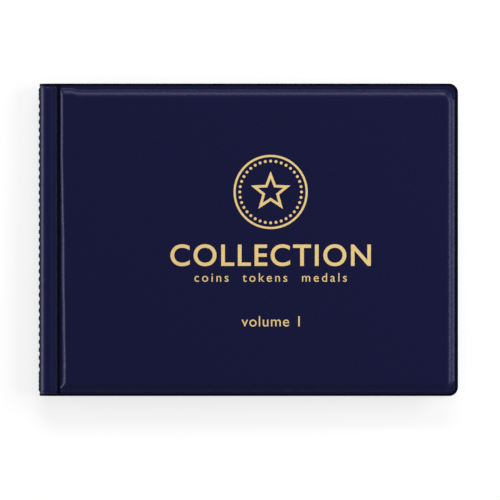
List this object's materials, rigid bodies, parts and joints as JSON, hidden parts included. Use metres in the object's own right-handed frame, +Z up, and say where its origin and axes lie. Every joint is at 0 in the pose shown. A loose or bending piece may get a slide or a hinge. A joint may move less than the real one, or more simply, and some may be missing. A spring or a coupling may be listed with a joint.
{
  "type": "coin album",
  "caption": "Closed pocket album for coins: grained vinyl cover with welded board stiffeners, sewn through its spine fold to leaves of clear pockets that turn with the cover.",
  "frame": {"origin": "middle of the closed album's footprint, on the surface that the back cover lies on", "axes": "+X from the spine to the fore edge, +Y along the spine towards the head, +Z up through the front cover"},
  "size_m": [0.2096, 0.156, 0.0142],
  "materials": {
    "cover_vinyl": "leather-grained navy PVC, satin",
    "lining_vinyl": "smooth navy PVC, satin",
    "stiffener_board": "uncoated grey chipboard",
    "clear_film": "clear plasticised PVC film, glossy",
    "welded_film": "clear PVC, embossed by the welding tool",
    "thread": "navy bonded polyester thread"
  },
  "bodies": {
    "back_cover": {"back_skin": "cover_vinyl", "back_board": "stiffener_board", "back_lining": "lining_vinyl", "spine_skin": "cover_vinyl", "spine_lining": "lining_vinyl", "sheet_folds": "clear_film", "sewing_thread": "thread"},
    "front_cover": {"front_skin": "cover_vinyl", "front_board": "stiffener_board", "front_lining": "lining_vinyl"},
    "leaf_01": {"leaf_01_backing": "clear_film", "leaf_01_weld_grid": "welded_film", "leaf_01_pocket_strips": "clear_film"},
    "leaf_02": {"leaf_02_backing": "clear_film", "leaf_02_weld_grid": "welded_film", "leaf_02_pocket_strips": "clear_film"},
    "leaf_03": {"leaf_03_backing": "clear_film", "leaf_03_weld_grid": "welded_film", "leaf_03_pocket_strips": "clear_film"},
    "leaf_04": {"leaf_04_backing": "clear_film", "leaf_04_weld_grid": "welded_film", "leaf_04_pocket_strips": "clear_film"},
    "leaf_05": {"leaf_05_backing": "clear_film", "leaf_05_weld_grid": "welded_film", "leaf_05_pocket_strips": "clear_film"},
    "leaf_06": {"leaf_06_backing": "clear_film", "leaf_06_weld_grid": "welded_film", "leaf_06_pocket_strips": "clear_film"},
    "leaf_07": {"leaf_07_backing": "clear_film", "leaf_07_weld_grid": "welded_film", "leaf_07_pocket_strips": "clear_film"},
    "leaf_08": {"leaf_08_backing": "clear_film", "leaf_08_weld_grid": "welded_film", "leaf_08_pocket_strips": "clear_film"},
    "leaf_09": {"leaf_09_backing": "clear_film", "leaf_09_weld_grid": "welded_film", "leaf_09_pocket_strips": "clear_film"},
    "leaf_10": {"leaf_10_backing": "clear_film", "leaf_10_weld_grid": "welded_film", "leaf_10_pocket_strips": "clear_film"}
  },
  "joints": [
    {"name": "cover_open", "type": "hinge", "parent": "back_cover", "child": "front_cover", "pos_m": [-0.0997, 0, 0.0071], "axis": [0, -1, 0], "range_deg": [0, 179.9], "deforming": ["spine_skin", "spine_lining", "sheet_folds", "sewing_thread"]},
    {"name": "leaf_01_turn", "type": "hinge", "parent": "back_cover", "child": "leaf_01", "pos_m": [-0.0997, 0, 0.0071], "axis": [0, -1, 0], "range_deg": [0, 171.9]},
    {"name": "leaf_02_turn", "type": "hinge", "parent": "back_cover", "child": "leaf_02", "pos_m": [-0.0997, 0, 0.0071], "axis": [0, -1, 0], "range_deg": [0, 163.9]},
    {"name": "leaf_03_turn", "type": "hinge", "parent": "back_cover", "child": "leaf_03", "pos_m": [-0.0997, 0, 0.0071], "axis": [0, -1, 0], "range_deg": [0, 155.9]},
    {"name": "leaf_04_turn", "type": "hinge", "parent": "back_cover", "child": "leaf_04", "pos_m": [-0.0997, 0, 0.0071], "axis": [0, -1, 0], "range_deg": [0, 147.9]},
    {"name": "leaf_05_turn", "type": "hinge", "parent": "back_cover", "child": "leaf_05", "pos_m": [-0.0997, 0, 0.0071], "axis": [0, -1, 0], "range_deg": [0, 139.9]},
    {"name": "leaf_06_turn", "type": "hinge", "parent": "back_cover", "child": "leaf_06", "pos_m": [-0.0997, 0, 0.0071], "axis": [0, -1, 0], "range_deg": [0, 40]},
    {"name": "leaf_07_turn", "type": "hinge", "parent": "back_cover", "child": "leaf_07", "pos_m": [-0.0997, 0, 0.0071], "axis": [0, -1, 0], "range_deg": [0, 32]},
    {"name": "leaf_08_turn", "type": "hinge", "parent": "back_cover", "child": "leaf_08", "pos_m": [-0.0997, 0, 0.0071], "axis": [0, -1, 0], "range_deg": [0, 24]},
    {"name": "leaf_09_turn", "type": "hinge", "parent": "back_cover", "child": "leaf_09", "pos_m": [-0.0997, 0, 0.0071], "axis": [0, -1, 0], "range_deg": [0, 16]},
    {"name": "leaf_10_turn", "type": "hinge", "parent": "back_cover", "child": "leaf_10", "pos_m": [-0.0997, 0, 0.0071], "axis": [0, -1, 0], "range_deg": [0, 8]}
  ],
  "couplings": [
    {"joint": "leaf_01_turn", "follows": "cover_open", "ratio": 0.95553},
    {"joint": "leaf_02_turn", "follows": "cover_open", "ratio": 0.91106},
    {"joint": "leaf_03_turn", "follows": "cover_open", "ratio": 0.86659},
    {"joint": "leaf_04_turn", "follows": "cover_open", "ratio": 0.82212},
    {"joint": "leaf_05_turn", "follows": "cover_open", "ratio": 0.77765},
    {"joint": "leaf_06_turn", "follows": "cover_open", "ratio": 0.22235},
    {"joint": "leaf_07_turn", "follows": "cover_open", "ratio": 0.17788},
    {"joint": "leaf_08_turn", "follows": "cover_open", "ratio": 0.13341},
    {"joint": "leaf_09_turn", "follows": "cover_open", "ratio": 0.088938},
    {"joint": "leaf_10_turn", "follows": "cover_open", "ratio": 0.044469}
  ]
}
